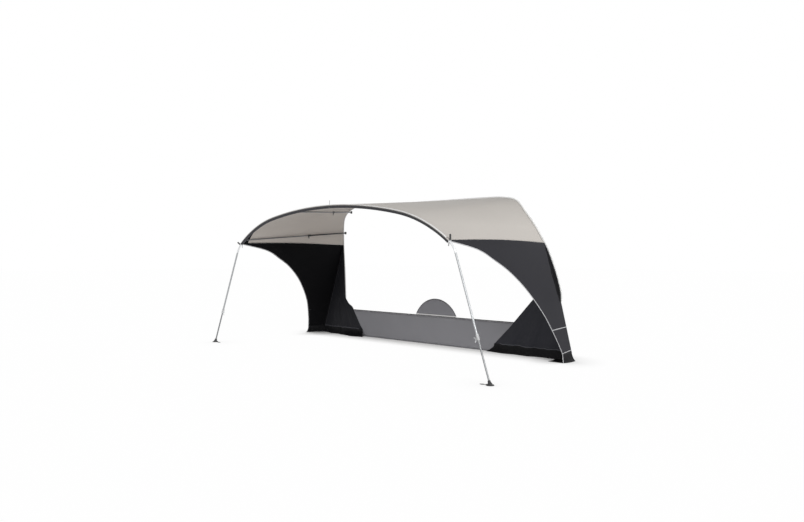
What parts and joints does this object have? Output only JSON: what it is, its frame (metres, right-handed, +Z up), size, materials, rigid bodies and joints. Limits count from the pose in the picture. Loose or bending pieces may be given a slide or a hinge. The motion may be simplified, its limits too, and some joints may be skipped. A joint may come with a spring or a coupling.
{
  "type": "caravan awning",
  "caption": "Open-fronted rail awning: a canopy on a bent front hoop with two telescopic legs, roof poles, side panels, mud walls and a draught skirt.",
  "frame": {"origin": "centre of the bounding box on the ground, under the middle of the awning", "axes": "+X along the rail to the right of someone who looks at the open front, +Y from the open front to the rail, +Z up"},
  "size_m": [6.3213, 2.5345, 2.5658],
  "materials": {
    "roof_fabric": "coated polyester, warm light grey",
    "hem_fabric": "coated polyester, dark grey",
    "panel_fabric": "coated polyester, charcoal",
    "inner_fabric": "coated polyester, near black",
    "mud_fabric": "soft black sheet",
    "piping": "woven edge binding, light grey",
    "bead": "soft white bead",
    "skirt_fabric": "coated polyester, mid grey",
    "aluminium_tube": "drawn tube, satin",
    "steel_tube": "drawn tube, darker",
    "grey_plastic": "moulded, mid grey",
    "black_plastic": "moulded, black"
  },
  "bodies": {
    "awning": {"canopy_roof": "roof_fabric", "front_hem_sleeve": "hem_fabric", "front_valance": "hem_fabric", "rail_bead": "bead", "draught_skirt": "skirt_fabric", "skirt_trim": "hem_fabric", "wheel_arch_cover": "skirt_fabric", "hoop_tube_left": "aluminium_tube", "hoop_tube_centre": "aluminium_tube", "hoop_tube_right": "aluminium_tube", "centre_spike": "grey_plastic", "side_panel_left": "panel_fabric", "inner_panel_left": "inner_fabric", "mud_wall_left": "mud_fabric", "side_piping_left": "piping", "corner_bend_left": "aluminium_tube", "corner_cap_left": "black_plastic", "upper_leg_tube_left": "aluminium_tube", "leg_clamp_left": "grey_plastic", "outer_pole_left_bracket": "black_plastic", "inner_pole_left_bracket": "black_plastic", "side_panel_right": "panel_fabric", "inner_panel_right": "inner_fabric", "mud_wall_right": "mud_fabric", "side_piping_right": "piping", "corner_bend_right": "aluminium_tube", "corner_cap_right": "black_plastic", "upper_leg_tube_right": "aluminium_tube", "leg_clamp_right": "grey_plastic", "outer_pole_right_bracket": "black_plastic", "inner_pole_right_bracket": "black_plastic"},
    "lower_leg_left": {"lower_leg_tube_left": "steel_tube", "foot_left": "black_plastic"},
    "peg_plate_left": {"peg_plate_left": "black_plastic"},
    "leg_clamp_screw_left": {"leg_clamp_screw_left": "grey_plastic"},
    "outer_pole_left": {"outer_pole_left_rear_tube": "aluminium_tube", "outer_pole_left_clamp": "black_plastic"},
    "outer_pole_left_front": {"outer_pole_left_front_tube": "steel_tube", "outer_pole_left_saddle": "black_plastic"},
    "outer_pole_left_screw": {"outer_pole_left_clamp_screw": "grey_plastic"},
    "inner_pole_left": {"inner_pole_left_rear_tube": "aluminium_tube", "inner_pole_left_clamp": "black_plastic"},
    "inner_pole_left_front": {"inner_pole_left_front_tube": "steel_tube", "inner_pole_left_saddle": "black_plastic"},
    "inner_pole_left_screw": {"inner_pole_left_clamp_screw": "grey_plastic"},
    "lower_leg_right": {"lower_leg_tube_right": "steel_tube", "foot_right": "black_plastic"},
    "peg_plate_right": {"peg_plate_right": "black_plastic"},
    "leg_clamp_screw_right": {"leg_clamp_screw_right": "grey_plastic"},
    "outer_pole_right": {"outer_pole_right_rear_tube": "aluminium_tube", "outer_pole_right_clamp": "black_plastic"},
    "outer_pole_right_front": {"outer_pole_right_front_tube": "steel_tube", "outer_pole_right_saddle": "black_plastic"},
    "outer_pole_right_screw": {"outer_pole_right_clamp_screw": "grey_plastic"},
    "inner_pole_right": {"inner_pole_right_rear_tube": "aluminium_tube", "inner_pole_right_clamp": "black_plastic"},
    "inner_pole_right_front": {"inner_pole_right_front_tube": "steel_tube", "inner_pole_right_saddle": "black_plastic"},
    "inner_pole_right_screw": {"inner_pole_right_clamp_screw": "grey_plastic"}
  },
  "joints": [
    {"name": "leg_slide_left", "type": "slide", "parent": "awning", "child": "lower_leg_left", "axis": [0.3483, 0.0425, 0.9364], "range_m": [-0.1, 0.4]},
    {"name": "leg_screw_turn_left", "type": "hinge", "parent": "awning", "child": "leg_clamp_screw_left", "pos_m": [-2.89941, -1.19071, 0.55367], "axis": [0.9374, -0.0158, -0.3479], "range_deg": [0, 180]},
    {"name": "peg_plate_hinge_left", "type": "hinge", "parent": "lower_leg_left", "child": "peg_plate_left", "pos_m": [-3.04751, -1.21586, 0.006], "axis": [0, -1, 0], "range_deg": [0, 90]},
    {"name": "outer_pole_left_swing", "type": "hinge", "parent": "awning", "child": "outer_pole_left", "pos_m": [-2.29129, 1.22664, 2.03], "axis": [1, -0.0007, 0], "range_deg": [0, 45]},
    {"name": "outer_pole_left_slide", "type": "slide", "parent": "outer_pole_left", "child": "outer_pole_left_front", "axis": [-0.0007, -0.9973, -0.0739], "range_m": [-0.3, 0]},
    {"name": "outer_pole_left_screw_turn", "type": "hinge", "parent": "outer_pole_left", "child": "outer_pole_left_screw", "pos_m": [-2.29195, 0.31414, 1.9624], "axis": [0, 0.0739, -0.9973], "range_deg": [0, 180]},
    {"name": "inner_pole_left_swing", "type": "hinge", "parent": "awning", "child": "inner_pole_left", "pos_m": [-2.10239, 1.22664, 2.43849], "axis": [0.8929, 0.4504, 0], "range_deg": [0, 55]},
    {"name": "inner_pole_left_slide", "type": "slide", "parent": "inner_pole_left", "child": "inner_pole_left_front", "axis": [0.4497, -0.8916, -0.0532], "range_m": [-0.3, 0]},
    {"name": "inner_pole_left_screw_turn", "type": "hinge", "parent": "inner_pole_left", "child": "inner_pole_left_screw", "pos_m": [-1.6909, 0.41084, 2.38978], "axis": [-0.024, 0.0475, -0.9986], "range_deg": [0, 180]},
    {"name": "leg_slide_right", "type": "slide", "parent": "awning", "child": "lower_leg_right", "axis": [-0.3483, 0.0425, 0.9364], "range_m": [-0.1, 0.4]},
    {"name": "leg_screw_turn_right", "type": "hinge", "parent": "awning", "child": "leg_clamp_screw_right", "pos_m": [2.89941, -1.19071, 0.55367], "axis": [-0.9374, -0.0158, -0.3479], "range_deg": [0, 180]},
    {"name": "peg_plate_hinge_right", "type": "hinge", "parent": "lower_leg_right", "child": "peg_plate_right", "pos_m": [3.04751, -1.21586, 0.006], "axis": [0, 1, 0], "range_deg": [0, 90]},
    {"name": "outer_pole_right_swing", "type": "hinge", "parent": "awning", "child": "outer_pole_right", "pos_m": [2.11585, 1.22664, 2.03], "axis": [0.9972, 0.0747, 0], "range_deg": [0, 45]},
    {"name": "outer_pole_right_slide", "type": "slide", "parent": "outer_pole_right", "child": "outer_pole_right_front", "axis": [0.0745, -0.9945, -0.0737], "range_m": [-0.3, 0]},
    {"name": "outer_pole_right_screw_turn", "type": "hinge", "parent": "outer_pole_right", "child": "outer_pole_right_screw", "pos_m": [2.18404, 0.31668, 1.96259], "axis": [-0.0055, 0.0735, -0.9973], "range_deg": [0, 180]},
    {"name": "inner_pole_right_swing", "type": "hinge", "parent": "awning", "child": "inner_pole_right", "pos_m": [1.7596, 1.22664, 2.43849], "axis": [0.9411, -0.3382, 0], "range_deg": [0, 55]},
    {"name": "inner_pole_right_slide", "type": "slide", "parent": "inner_pole_right", "child": "inner_pole_right_front", "axis": [-0.3377, -0.9396, -0.0561], "range_m": [-0.3, 0]},
    {"name": "inner_pole_right_screw_turn", "type": "hinge", "parent": "inner_pole_right", "child": "inner_pole_right_screw", "pos_m": [1.45062, 0.36692, 2.38716], "axis": [0.019, 0.0528, -0.9984], "range_deg": [0, 180]}
  ]
}
